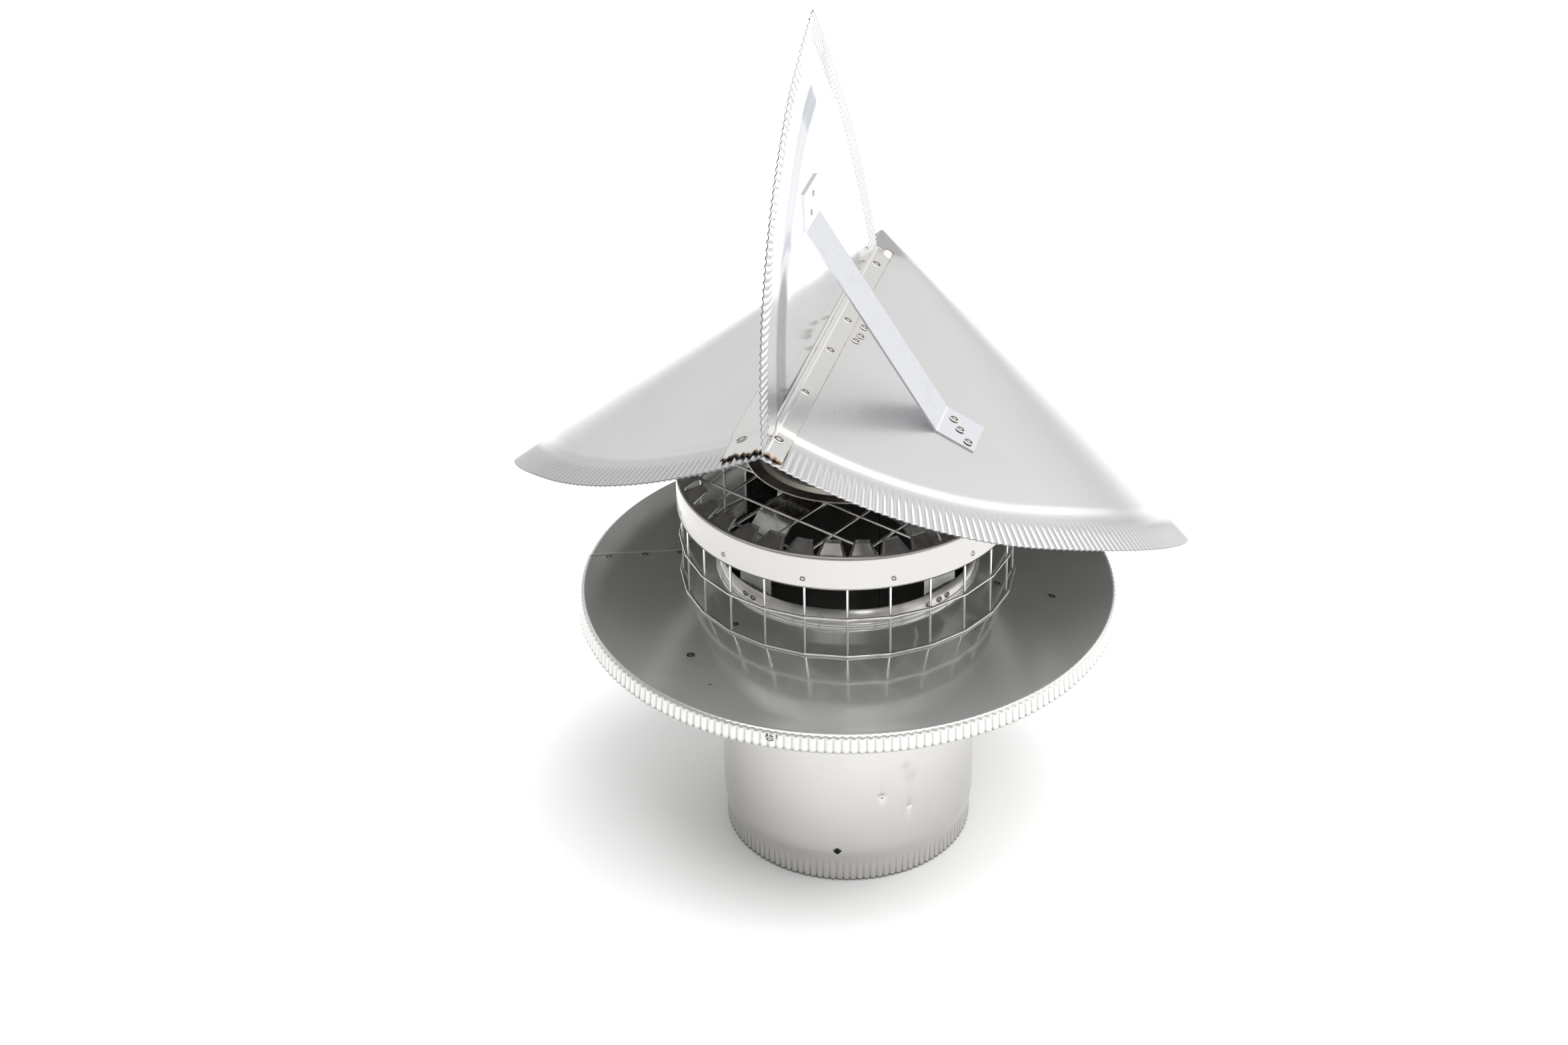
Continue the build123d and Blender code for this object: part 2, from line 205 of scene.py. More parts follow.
def crimping_tree():
    """Presses round ribs square to a sheet, with a sharp groove between them: its "along" runs with the rim,
    and its "crimp" is 1 at the rim and 0 inside. How deep a point lies in a groove is kept as "groove",
    and the sheet's material paints shade in the groove from it."""
    inputs = {"Sheet": "Geometry", "Pitch": "Float", "Depth": "Float", "Metal": "Material"}
    tree, paper, (sheet, pitch, depth, metal) = group("crimping", inputs)
    named = "GeometryNodeInputNamedAttribute"
    along = paper.add(named, {"data_type": "FLOAT"}, {"Name": "along"})
    crimp = paper.add(named, {"data_type": "FLOAT"}, {"Name": "crimp"})
    rib = paper.math("ABSOLUTE", paper.math("SINE", along * math.pi / pitch))
    square = paper.add("GeometryNodeInputNormal")
    rise = (rib - 0.64) * crimp * depth
    push = paper.add("ShaderNodeVectorMath", {"operation": "SCALE"}, {0: square, "Scale": rise})
    pressed = paper.add("GeometryNodeSetPosition", {}, {"Geometry": sheet, "Offset": push})
    groove = paper.math("POWER", 1 - rib, 3) * crimp
    sockets = {"Geometry": pressed, "Name": "groove", "Value": groove}
    kept = paper.add("GeometryNodeStoreNamedAttribute", {"data_type": "FLOAT"}, sockets)
    return finish_tree(tree, paper, kept, metal)


crimping = crimping_tree()


def worked(blank, tree, inputs, wall=0.0, offset=-1.0):
    """Puts a blank through a node tree, gives it a wall if it is sheet, and leaves a plain mesh."""
    step = blank.modifiers.new(tree.name, "NODES")
    step.node_group = tree
    for item in tree.interface.items_tree:
        if item.name in inputs and item.in_out == "INPUT":
            step[item.identifier] = inputs[item.name]
    if wall:
        thick = blank.modifiers.new("wall", "SOLIDIFY")
        thick.thickness = wall
        thick.offset = offset
    seen = blank.evaluated_get(bpy.context.evaluated_depsgraph_get())
    made = bpy.data.meshes.new_from_object(seen)
    blank.modifiers.clear()
    blank.data = made
    made.shade_smooth()
    return blank


def as_object(name, points, faces, edges=()):
    """A new object at the origin from points and faces."""
    mesh = bpy.data.meshes.new(name)
    mesh.from_pydata(points, edges, faces)
    thing = bpy.data.objects.new(name, mesh)
    bpy.context.scene.collection.objects.link(thing)
    return thing


def sheet_blank(name, columns, rows, place, inside, closed=False):
    """A sheet laid out in columns along its rim and rows across it. place(column, row) gives a point, its
    distance along the rim, how much it is crimped and, if it is beaded, its share of the painted shade along
    the bead and of the dark rim edge; inside is a point behind the sheet's outer face."""
    spots = [place(column, row) for column in range(columns) for row in range(rows)]
    count = columns if closed else columns - 1
    faces = []
    for column in range(count):
        for row in range(rows - 1):
            here = column * rows + row
            there = (column + 1) % columns * rows + row
            faces.append((here, there, there + 1, here + 1))
    blank = as_object(name, [spot[0] for spot in spots], faces)
    mesh = blank.data
    for number, label in ((1, "along"), (2, "crimp"), (3, "track"))[:len(spots[0]) - 1]:
        values = mesh.attributes.new(label, "FLOAT", "POINT")
        values.data.foreach_set("value", [spot[number] for spot in spots])
    out = sum((Vector(face.center) - Vector(inside)).dot(face.normal) * face.area for face in mesh.polygons)
    if out < 0:
        mesh.flip_normals()
    return blank


def ramp(value, low, high):
    """0 below low, 1 above high, smooth between them; low may be the larger."""
    share = min(1.0, max(0.0, (value - low) / (high - low)))
    return share * share * (3 - 2 * share)


def around(azimuth, radius, height):
    """Point at an azimuth in degrees, a radius and a height."""
    turn = math.radians(azimuth)
    return Vector((radius * math.sin(turn), -radius * math.cos(turn), height))


collar_rows = [0.0, 0.002, 0.006, 0.010, 0.013, 0.0155, 0.018, 0.0195, 0.021, 0.026]
for azimuth, height, depth in dents:
    collar_rows += [height + step * dent_spread * 2 / 3 for step in range(-3, 4)]
collar_rows = sorted(collar_rows + [collar_top * step / 12 for step in range(2, 13)])
samples_per_rib = 8
collar_lap = 10.0
collar_columns = int(collar_ribs * samples_per_rib * (1 + collar_lap / 360)) + 1


def collar_spot(column, row):
    turn = 360 * column / (collar_ribs * samples_per_rib)
    height = collar_rows[row]
    radius = spigot_radius + (collar_radius - spigot_radius) * ramp(height, 0.011, 0.024)
    radius -= SHEET * 1.05 * (1 - ramp(turn, 0, 16))
    for azimuth, at, depth in dents:
        across = math.radians(turn - 180 - azimuth) * radius
        radius -= dent_depth * depth * math.exp(-(across**2 + (height - at) ** 2) / (2 * dent_spread**2))
    return around(180 + turn, radius, height), turn / 360 * collar_ribs, ramp(height, 0.0185, 0.002)


collar = sheet_blank("collar", collar_columns, len(collar_rows), collar_spot, (0, 0, 0.1))
worked(collar, crimping, {"Pitch": 1.0, "Depth": collar_rib_depth, "Metal": satin_sheet}, SHEET)

hole_corners = ((hole_half, 0), (0, hole_half), (-hole_half, 0), (0, -hole_half))
punch_points = [
    around(hole_azimuth, radius, hole_height + rise) + around(hole_azimuth + 90, across, 0)
    for radius in (0.07, 0.085) for across, rise in hole_corners
]
punch_faces = [(3, 2, 1, 0), (4, 5, 6, 7)] + [(n, (n + 1) % 4, (n + 1) % 4 + 4, n + 4) for n in range(4)]
punch = as_object("punch", punch_points, punch_faces)
hole = collar.modifiers.new("hole", "BOOLEAN")
hole.object = punch
collar.data = bpy.data.meshes.new_from_object(collar.evaluated_get(bpy.context.evaluated_depsgraph_get()))
collar.modifiers.clear()
bpy.data.objects.remove(punch)
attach(collar, "base")
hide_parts("collar_pipe")


# ---- Base plate ----
# A stamped stainless disc with an upstand welded round the collar and a crimped skirt round its rim.
# It is cut along one radius, lapped and spot welded there, so a fine step runs out from the collar.
plate_collar_height = 0.1856
plate_neck_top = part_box("base_plate")[1].z
plate_radius = 0.162
plate_drop = 0.0152
plate_slope = plate_drop / (plate_radius - collar_radius)
skirt_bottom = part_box("base_plate")[0].z
plate_ribs = 216
plate_rib_depth = 0.001
plate_seam = -84.5
plate_lap = 6.0

plate_rows = [(collar_radius + 0.0003, plate_neck_top), (collar_radius + 0.0003, plate_neck_top - 0.0025)]
plate_rows += [(collar_radius + 0.0006, plate_collar_height + 0.0004)]
for step in range(11):
    radius = collar_radius + 0.002 + (plate_radius - 0.0055 - collar_radius) * step / 10
    plate_rows.append((radius, plate_collar_height - plate_slope * (radius - collar_radius)))
fold_radius = 0.0032
for step in range(7):
    bend = math.radians(10 + 77 * step / 6)
    centre = (plate_radius - fold_radius, plate_collar_height - plate_drop - fold_radius + 0.0006)
    plate_rows.append((centre[0] + fold_radius * math.sin(bend), centre[1] + fold_radius * math.cos(bend)))
fold_end = plate_rows[-1]
for share in (0.2, 0.45, 0.7, 1.0):
    plate_rows.append((fold_end[0] + 0.0012 * share, fold_end[1] + (skirt_bottom - fold_end[1]) * share))
plate_samples = 8
plate_columns = int(plate_ribs * plate_samples * (1 + plate_lap / 360)) + 1


def plate_spot(column, row):
    turn = 360 * column / (plate_ribs * plate_samples)
    radius, height = plate_rows[row]
    on_top = 1 - ramp(turn, 0, 30)
    height += SHEET * 1.15 * on_top + 0.0004 * (1 - ramp(turn, 0, 0.7)) * ramp(radius, 0.1, 0.104)
    crimp = ramp(plate_collar_height - plate_drop - height, -0.0003, 0.003)
    dish = 0.0004 * math.sin(math.radians(turn * 3 + 40)) * ramp(radius, 0.1, 0.15) * (1 - crimp)
    return around(plate_seam + turn, radius, height + dish), turn / 360 * plate_ribs, crimp


plate_sheet = mill_sheet("plate_sheet", (0.66, 0.665, 0.645), 0.1, 0.06, 0.0001, (0.3, 0.3, 0.3), smudges=(
    ((-0.064, -0.1145, 0.178), 0.007), ((-0.058, -0.118, 0.178), 0.005)))
plate = sheet_blank("base_plate_sheet", plate_columns, len(plate_rows), plate_spot, (0, 0, -1))
plate_sheet.node_tree.nodes["Principled BSDF"].inputs["Metallic"].default_value = 0.62
worked(plate, crimping, {"Pitch": 1.0, "Depth": plate_rib_depth, "Metal": plate_sheet}, SHEET)
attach(plate, "base")
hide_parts("base_plate")


# ---- Cage ----
# Stock one inch welded mesh of drawn stainless wire, bent round into a ring, so its round wires run straight
# from one upright to the next. The uprights and the wires of the cage's top are the frame's own pieces.
base_turn = 15.0
upright_count = 25
wire_radius = 0.0008
cage_join = 17


def drawn_wire(name, tone, dull):
    """Drawn wire: fine draw lines, with a brown tint here and there from the welding."""
    metal, shader, paper, place = bare_metal(name)
    heat = paper.add("ShaderNodeTexNoise", {}, {"Vector": place, "Scale": 45, "Detail": 3})
    lines = paper.add("ShaderNodeTexNoise", {}, {"Vector": place, "Scale": 900, "Detail": 2})
    scale = heat.between(0.55, 0.78)
    (scale * 0.6).tinted(tone, (0.33, 0.28, 0.22)).feed(shader, "Base Color")
    (dull + scale * 0.2 + lines * 0.08).feed(shader, "Roughness")
    bump = paper.add("ShaderNodeBump", {}, {"Strength": 0.5, "Distance": 1, "Height": lines * 0.00002})
    bump.feed(shader, "Normal")
    return metal


mesh_wire = drawn_wire("mesh_wire", (0.76, 0.75, 0.73), 0.14)


def wire_tree():
    """Turns edges into round wire."""
    inputs = {"Line": "Geometry", "Radius": "Float", "Sides": "Int", "Metal": "Material"}
    tree, paper, (line, radius, sides, metal) = group("wire", inputs)
    curve = paper.add("GeometryNodeMeshToCurve", {}, {"Mesh": line})
    section = paper.add("GeometryNodeCurvePrimitiveCircle", {}, {"Resolution": sides, "Radius": radius})
    sockets = {"Curve": curve, "Profile Curve": section, "Fill Caps": True}
    return finish_tree(tree, paper, paper.add("GeometryNodeCurveToMesh", {}, sockets), metal)


wire_bending = wire_tree()
nugget_spots = []
for ring_node in ("cage_ring_lower", "cage_ring_middle", "cage_ring_upper"):
    low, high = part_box(ring_node)
    ring_radius = high.x - wire_radius
    ring_height = (low.z + high.z) / 2
    line = []
    for bay in range(upright_count + 1):
        azimuth = base_turn + 360 / upright_count * (cage_join + bay)
        for shift in (-1.4, -0.7, 0, 0.7, 1.4):
            if bay in (0, upright_count) and shift * (1 if bay else -1) > 0.8:
                continue
            inward = 0.00035 * ramp(abs(shift), 0, 1.4)
            lapped = wire_radius * 2.1 * (bay == upright_count) * ramp(shift, -1.5, 0)
            line.append(around(azimuth + shift, ring_radius - inward, ring_height + lapped))
    ring = as_object(ring_node + "_wire", line, [], [(spot, spot + 1) for spot in range(len(line) - 1)])
    worked(ring, wire_bending, {"Radius": wire_radius, "Sides": 12, "Metal": mesh_wire})
    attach(ring, "base")
    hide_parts(ring_node)
    for bay in range(upright_count):
        azimuth = base_turn + 360 / upright_count * bay
        nugget_spots.append(around(azimuth, ring_radius - wire_radius * 0.8, ring_height))


def coat(node, metal):
    """Gives one of the frame's own pieces its finish."""
    nodes[node].data.materials.clear()
    nodes[node].data.materials.append(metal)


for node in ("cage_uprights", "top_mesh_over_wires", "top_mesh_under_wires"):
    coat(node, mesh_wire)


# ---- Nuggets at the cage's crossings ----
# Where two wires cross, the resistance weld squeezes out a little metal on both sides of the joint.
def nugget_tree():
    """A squashed lump at each point, turned at random by a fixed seed."""
    inputs = {"Points": "Geometry", "Radius": "Float", "Metal": "Material"}
    tree, paper, (points, radius, metal) = group("nuggets", inputs)
    lump = paper.add("GeometryNodeMeshIcoSphere", {}, {"Radius": radius, "Subdivisions": 2})
    turn = paper.add("FunctionNodeRandomValue", {"data_type": "FLOAT_VECTOR"}, {"Seed": 4, 1: (6, 6, 6)})
    sockets = {"Seed": 9, 2: 0.8, 3: 1.15}
    size = paper.add("FunctionNodeRandomValue", {"data_type": "FLOAT"}, sockets, output=1)
    sockets = {"Points": points, "Instance": lump, "Rotation": turn, "Scale": size}
    return finish_tree(tree, paper, paper.add("GeometryNodeInstanceOnPoints", {}, sockets), metal)


nugget_radius = 0.00105
nuggets = as_object("cage_weld_nuggets", nugget_spots, [])
nugget_metal = drawn_wire("weld_nugget", (0.5, 0.47, 0.43), 0.34)
worked(nuggets, nugget_tree(), {"Radius": nugget_radius, "Metal": nugget_metal})
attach(nuggets, "base")


# ---- Top band ----
# A strip of bright stainless sheet round the cage. Its upper edge is slit into tabs, and each tab is
# hammered in over the top mesh by hand, so no two lie quite alike.
band_low, band_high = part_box("top_band")
band_radius = band_high.x - 0.0003
band_fold = 0.0018
tab_count = 34
tab_length = 0.013
slot_root, slot_end = 0.0012, 0.0064
tab_columns = 8
bright_sheet = mill_sheet("bright_sheet", (0.53, 0.517, 0.503), 0.16, 0.08, 0.0002)
hammer = random.Random(11)
band_rows = [(0.0, band_low.z), (0.0, band_low.z + 0.001), (0.0, band_low.z + 0.010)]
for step in range(6):
    bend = math.radians(90 * step / 5)
    across = band_fold * (1 - math.cos(bend))
    band_rows.append((across, band_high.z - 0.0003 - band_fold + band_fold * math.sin(bend)))
tab_steps = (0.12, 0.3, 0.5, 0.75, 1.0)
band_points, band_faces = [], []
ring_rows = len(band_rows)
sector = 360 / tab_count
for tab in range(tab_count):
    middle = base_turn + sector / 2 + sector * tab
    lift = hammer.uniform(0.0032, 0.0052)
    skew = hammer.uniform(-0.25, 0.25)
    gap = slot_end + hammer.uniform(0, 0.0022)
    start = len(band_points)
    for column in range(tab_columns + 1):
        root_half = sector / 2 - math.degrees(slot_root / 2 / band_radius)
        azimuth = middle + root_half * (2 * column / tab_columns - 1)
        for inward, height in band_rows:
            band_points.append(around(azimuth, band_radius - inward, height))
        for share in tab_steps:
            radius = band_radius - band_fold - (tab_length - band_fold) * share
            slot = slot_root + (gap - slot_root) * share
            half = (math.pi * radius / tab_count - slot / 2) / radius
            azimuth = middle + math.degrees(half) * (2 * column / tab_columns - 1) + skew * share
            dip = lift * share + 0.00012 * math.sin(column * 0.8 + tab)
            band_points.append(around(azimuth, radius, band_high.z - 0.0003 + dip))
    rows = ring_rows + len(tab_steps)
    for column in range(tab_columns):
        for row in range(rows - 1):
            here = start + column * rows + row
            band_faces.append((here, here + rows, here + rows + 1, here + 1))
    last = start + tab_columns * rows
    following = (tab + 1) % tab_count * (tab_columns + 1) * rows
    for row in range(ring_rows - 1):
        band_faces.append((last + row, following + row, following + row + 1, last + row + 1))
band = as_object("top_band_sheet", band_points, band_faces)
if band.data.polygons[0].normal.dot(band.data.polygons[0].center) < 0:
    band.data.flip_normals()
band.data.attributes.new("along", "FLOAT", "POINT")
band.data.attributes.new("crimp", "FLOAT", "POINT")
bright_sheet.node_tree.nodes["Principled BSDF"].inputs["Metallic"].default_value = 0.85
worked(band, crimping, {"Pitch": 1.0, "Depth": 0.0, "Metal": bright_sheet}, SHEET, 0.0)
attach(band, "base")
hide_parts("top_band")


# ---- Pivot: arches, spindle, nuts, washers and bushes ----
# Two crossed stainless straps carry the threaded spindle, and the hood's tube turns on it in two bronze
# bushes. Their shapes are the frame's own; each gets the finish that its stock comes with.
def strap_metal(name, tone, dull):
    """Cold rolled strap: fine grain, a dull blue-grey cast and small bright rubs."""
    metal, shader, paper, place = bare_metal(name)
    grain = paper.add("ShaderNodeTexNoise", {}, {"Vector": place, "Scale": 1100, "Detail": 3})
    rubs = paper.add("ShaderNodeTexNoise", {}, {"Vector": place, "Scale": 60, "Detail": 6, "Roughness": 0.7})
    rubbed = rubs.between(0.52, 0.74)
    lighter = tuple(min(1, c * 1.06) for c in tone)
    (rubbed * 0.6 + grain * 0.25).tinted(tone, lighter).feed(shader, "Base Color")
    (dull + grain * 0.12 - rubbed * 0.08).feed(shader, "Roughness")
    bump = paper.add("ShaderNodeBump", {}, {"Strength": 0.6, "Distance": 1, "Height": grain * 0.00003})
    bump.feed(shader, "Normal")
    return metal


arch_strap = strap_metal("arch_strap", (0.5, 0.5, 0.49), 0.2)
turned_steel = strap_metal("turned_steel", (0.62, 0.62, 0.61), 0.22)
bronze = strap_metal("bush_bronze", (0.45, 0.3, 0.14), 0.35)
for node, metal in (
    ("pivot_arch_lower", arch_strap),
    ("pivot_arch_upper", arch_strap),
    ("spindle", turned_steel),
    ("base_nut", turned_steel),
    ("clamp_nut", turned_steel),
    ("support_nut", turned_steel),
    ("cap_nut", turned_steel),
    ("base_washer", turned_steel),
    ("cap_washer", turned_steel),
    ("thrust_washer", bronze),
    ("bush_lower", bronze),
    ("bush_upper", bronze),
    ("hub_tube", arch_strap),
    ("saddle_bracket", arch_strap),
):
    coat(node, metal)


# ---- Bearing pan ----
# A stamped disc under the hub. It hangs in the flue's breath, so soot and heat have browned it,
# most of all inside its step, and only its edge is still bright.
pan_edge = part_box("bearing_pan")[1].x


def sooted_sheet(name):
    """Sheet browned by flue gas, cleaner on the slope of its step and bare at its sheared edge."""
    metal, shader, paper, place = bare_metal(name)
    soot = paper.add("ShaderNodeTexNoise", {}, {"Vector": place, "Scale": 40, "Detail": 5})
    flat = paper.add("ShaderNodeVectorMath", {"operation": "MULTIPLY"}, {0: place, 1: (1, 1, 0)})
    radius = paper.add("ShaderNodeVectorMath", {"operation": "LENGTH"}, {0: flat}, output="Value")
    edge = radius.between(pan_edge - 0.0008, pan_edge - 0.0003)
    step_ring = radius.between(pan_edge - 0.0115, pan_edge - 0.0105)
    step_ring = step_ring * (1 - radius.between(pan_edge - 0.0078, pan_edge - 0.007))
    browned = soot.between(0.3, 0.75).tinted((0.075, 0.06, 0.05), (0.2, 0.16, 0.13))
    edge.tinted(step_ring.tinted(browned, (0.42, 0.39, 0.35)), (0.7, 0.68, 0.64)).feed(shader, "Base Color")
    (0.42 - edge * 0.2 - step_ring * 0.14 + soot * 0.1).feed(shader, "Roughness")
    return metal


coat("bearing_pan", sooted_sheet("pan_sheet"))


# ---- Hood ----
# A stainless disc, crimped round its rim and beaded inside the crimps, then rolled to a cone and folded to
# a ridge along its top. The far wing's edge laps over the near one and is spot welded to it.
apex = Vector((0, 0.0805, 0.368))
hood_slant = 0.258
half_angle = math.radians(51.8)
tilt = math.radians(63)
ridge_fall = math.radians(1.8)
hood_ribs = 300
hood_samples = 6
hood_rib_depth = 0.0007
bead_inside = 0.031
bead_width = 0.0062
bead_step = 0.0012
strip_bend = math.tan(math.radians(2.5))
ridge_steps, round_steps = 200, 800
hood_axis = Vector((0, -math.cos(tilt), -math.sin(tilt)))
hood_up = Vector((0, -math.sin(tilt), math.cos(tilt)))
ridge_forward = Vector((0, -math.cos(ridge_fall), -math.sin(ridge_fall)))
ridge_up = Vector((0, -math.sin(ridge_fall), math.cos(ridge_fall)))
circle = math.tan(half_angle)
ridge_out = math.tan(tilt - ridge_fall)
tangent_turn = math.acos(circle / ridge_out)


def hood_outline():
    """Directions from the apex round the whole hood, from the ridge over the right wing and back."""
    corner = (circle * math.sin(tangent_turn), circle * math.cos(tangent_turn))
    path = []
    for step in range(ridge_steps):
        path.append((corner[0] * step / ridge_steps, ridge_out + (corner[1] - ridge_out) * step / ridge_steps))
    sweep = math.tau - 2 * tangent_turn
    for step in range(round_steps + 1):
        turn = tangent_turn + sweep * step / round_steps
        path.append((circle * math.sin(turn), circle * math.cos(turn)))
    path += [(-x, y) for x, y in reversed(path[1:ridge_steps])] + [(0, ridge_out)]
    return [(hood_axis + Vector((1, 0, 0)) * x + hood_up * y).normalized() for x, y in path]


outline = hood_outline()
reach = [0.0]
for one, other in zip(outline, outline[1:]):
    reach.append(reach[-1] + one.angle(other))


def hood_direction(angle):
    """Direction from the apex at a developed angle round the sheet."""
    number = min(len(reach) - 1, max(1, bisect_left(reach, angle)))
    share = (angle - reach[number - 1]) / (reach[number] - reach[number - 1])
    return outline[number - 1].lerp(outline[number], share).normalized()


def rim_lift(inside):
    """How far out of the plain cone the sheet lies, at a distance inside the rim: it swells a little towards
    the bead, steps inwards there, and the strip outside the bead is bent down."""
    swell = 0.0006 * ramp(inside, 0.13, bead_inside)
    step = bead_step * ramp(inside, bead_inside, bead_inside - bead_width)
    return swell - step - strip_bend * max(0.0, bead_inside - bead_width - inside)


hood_rows = [0.2572, 0.22, 0.16, 0.12, 0.09, 0.065, 0.045, 0.036, 0.0325, 0.031, 0.030, 0.029, 0.028, 0.027]
hood_rows += [0.026, 0.025, 0.0238, 0.0215, 0.0195, 0.0175, 0.015, 0.0125, 0.009, 0.0045, 0.0006, 0.0]
hood_columns = hood_ribs * hood_samples


def hood_spot(column, row):
    angle = reach[-1] * column / hood_columns
    inside = hood_rows[row]
    along = hood_direction(angle)
    side = hood_direction((angle + 0.002) % reach[-1]) - hood_direction((angle - 0.002) % reach[-1])
    if column == 0:
        side = Vector((1, 0, 0))
    out = side.cross(along).normalized()
    if out.dot(hood_axis) > 0:
        out = -out
    point = apex + along * (hood_slant - inside) + out * (rim_lift(inside) - SHEET * 0.5)
    # Painted shade darkens the strip outside the bead a little; the rim's very edge is darker.
    edge = ramp(inside, 0.0006, 0.0) * 0.85
    track = ramp(inside, bead_inside - bead_width, 0.022) * 0.2
    return point, column / hood_samples, ramp(inside, 0.0215, 0.011), max(edge, track)


hood_sheet = mill_sheet("hood_sheet", (0.64, 0.633, 0.632), 0.25, 0.05, 0.0001, (0.3, 0.3, 0.3))
hood = sheet_blank("hood_sheet", hood_columns, len(hood_rows), hood_spot, apex + hood_axis * 0.1, closed=True)
worked(hood, crimping, {"Pitch": 1.0, "Depth": hood_rib_depth, "Metal": hood_sheet}, SHEET, 0.0)
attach(hood, "hood")
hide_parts("hood_cone")


# ---- Hood seam ----
# The lap of the hood's sheet over the left wing, closed by spot welds. Its front end was cut back with heat,
# so that edge is wavy and burnt brown.
seam_width = 0.027
seam_setback = 0.0045
seam_rear = 0.014


def wing_frame(side):
    """In the flat of one wing: the way down it, square to the ridge, and the way out of it."""
    tangent = hood_direction(0.3 if side > 0 else reach[-1] - 0.3)
    down = (tangent - ridge_forward * tangent.dot(ridge_forward)).normalized()
    out = ridge_forward.cross(down) * side
    if out.z < 0:
        out = -out
    return down, out


def on_wing(side, ahead, down, lift):
    """Point on a wing, ahead of the apex along the ridge and down the slope, lifted off the sheet."""
    slope, out = wing_frame(side)
    inside = hood_slant - math.hypot(ahead, down)
    return apex + ridge_forward * ahead + slope * down + out * (rim_lift(inside) + lift)


burner = random.Random(5)
seam_columns, seam_rows = 150, 22
ragged = [burner.uniform(-0.0006, 0.0006) for row in range(seam_rows)]


def seam_spot(column, row):
    width = seam_width * (0.98 * (seam_rows - 1 - row) / (seam_rows - 2) if row else 1)
    front = math.sqrt((hood_slant - seam_setback) ** 2 - width**2) + ragged[row]
    front -= 0.003 * math.exp(-(((width - 0.020) / 0.006) ** 2)) - 0.0005 * math.sin(width * 900)
    share = (column / (seam_columns - 1)) ** 0.6
    ahead = seam_rear + (front - seam_rear) * share
    width = min(width, ahead * math.tan(math.radians(34)))
    curl = 0.0009 * ramp(front - ahead, 0.006, 0) * math.sin(width * 1500)
    burnt = max(ramp(front - ahead, 0.0045, 0.0005), (row == 0) * 0.6)
    return on_wing(-1, ahead, width, SHEET * 1.25 + curl), 0, burnt


def scorched_sheet(name):
    """Satin sheet that turns straw, brown and black towards an edge cut with heat."""
    metal, shader, paper, place = bare_metal(name)
    burn = paper.add("ShaderNodeAttribute", {"attribute_name": "crimp"}, output="Fac")
    patch = paper.add("ShaderNodeTexNoise", {}, {"Vector": place, "Scale": 260, "Detail": 4})
    heat = paper.math("MULTIPLY", burn, 0.35 + patch * 1.3, clamp=True)
    stops = [(0.0, (0.63, 0.625, 0.61)), (0.3, (0.6, 0.55, 0.46))]
    stops += [(0.55, (0.26, 0.17, 0.11)), (0.9, (0.03, 0.028, 0.03))]
    paper.add("ShaderNodeValToRGB", {"stops": stops}, {"Fac": heat}).feed(shader, "Base Color")
    (0.2 + heat * 0.35 + patch * 0.04).feed(shader, "Roughness")
    bump = paper.add("ShaderNodeBump", {}, {"Strength": 1, "Distance": 1, "Height": patch * heat * 0.0004})
    bump.feed(shader, "Normal")
    return metal


seam_sheet = scorched_sheet("seam_sheet")
seam = sheet_blank("hood_seam_lap", seam_columns, seam_rows, seam_spot, (0, 0, -1))
worked(seam, crimping, {"Pitch": 1.0, "Depth": 0.0, "Metal": seam_sheet}, SHEET, 0.0)
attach(seam, "hood")


# ---- Vane ----
# A pointed sheet of bright stainless with two curved edges, each crimped and beaded straight through, so the
# two beads cross near its point. It stands on the ridge and leans a little to the left.
vane_height = 0.1975
vane_front, vane_rear, vane_tip = -0.178, 0.060, -0.050
front_bow, rear_bow = 0.218, 0.560
vane_lean = math.radians(1.8)
vane_bead = 0.051
vane_bead_width = 0.021
vane_step = 0.0008
vane_bend = math.tan(math.radians(1.2))
vane_pitch, vane_rib_depth = 0.0042, 0.001
vane_base = apex + ridge_forward * (apex.y / math.cos(ridge_fall)) + Vector((0.0004, 0, 0))
vane_up = ridge_up * math.cos(vane_lean) - Vector((1, 0, 0)) * math.sin(vane_lean)
vane_out = (-ridge_forward).cross(vane_up)


def bow_centre(foot, radius, side):
    """Centre of a curved edge that runs from a foot on the ridge to the vane's point."""
    foot, point = Vector((foot, 0)), Vector((vane_tip, vane_height))
    chord = point - foot
    square = Vector((chord.y, -chord.x)).normalized() * side
    if square.x * side < 0:
        square = -square
    return (foot + point) / 2 - square * math.sqrt(radius**2 - chord.length_squared / 4)


front_centre = bow_centre(vane_front, front_bow, -1)
rear_centre = bow_centre(vane_rear, rear_bow, 1)


def vane_shift(inside):
    """How far a bead sets the vane's outer strip to the right, at a distance inside that edge."""
    step = vane_step * ramp(inside, vane_bead, vane_bead - vane_bead_width)
    return step + vane_bend * max(0.0, vane_bead - vane_bead_width - inside)


def on_vane(flat):
    """Point of the vane from its place in the flat: along the ridge towards the rear, and up."""
    front_inside = front_bow - (flat - front_centre).length
    rear_inside = rear_bow - (flat - rear_centre).length
    shift = vane_shift(front_inside) + vane_shift(rear_inside)
    return vane_base - ridge_forward * flat.x + vane_up * flat.y + vane_out * shift


vane_insets = [0.0, 0.0005] + [0.0012 * step for step in range(1, 15)] + [0.02, 0.025, 0.029]
vane_insets += [0.031 + 0.0025 * step for step in range(36)]
vane_columns = 340


def edge_turns(foot, centre):
    """Where a curved edge starts and ends, as turns about its centre."""
    start, end = Vector((foot, 0)) - centre, Vector((vane_tip, vane_height)) - centre
    first, last = math.atan2(start.y, start.x), math.atan2(end.y, end.x)
    if first - last > math.pi:
        last += math.tau
    if last - first > math.pi:
        first += math.tau
    return first, last


front_turns = edge_turns(vane_front, front_centre)
rear_turns = edge_turns(vane_rear, rear_centre)


def in_bead_shade(inside):
    """1 in the middle of a bead's step, 0 outside it: where a band of painted shade lies."""
    return ramp(abs(inside - vane_bead + vane_bead_width / 2), vane_bead_width * 0.6, vane_bead_width * 0.35)


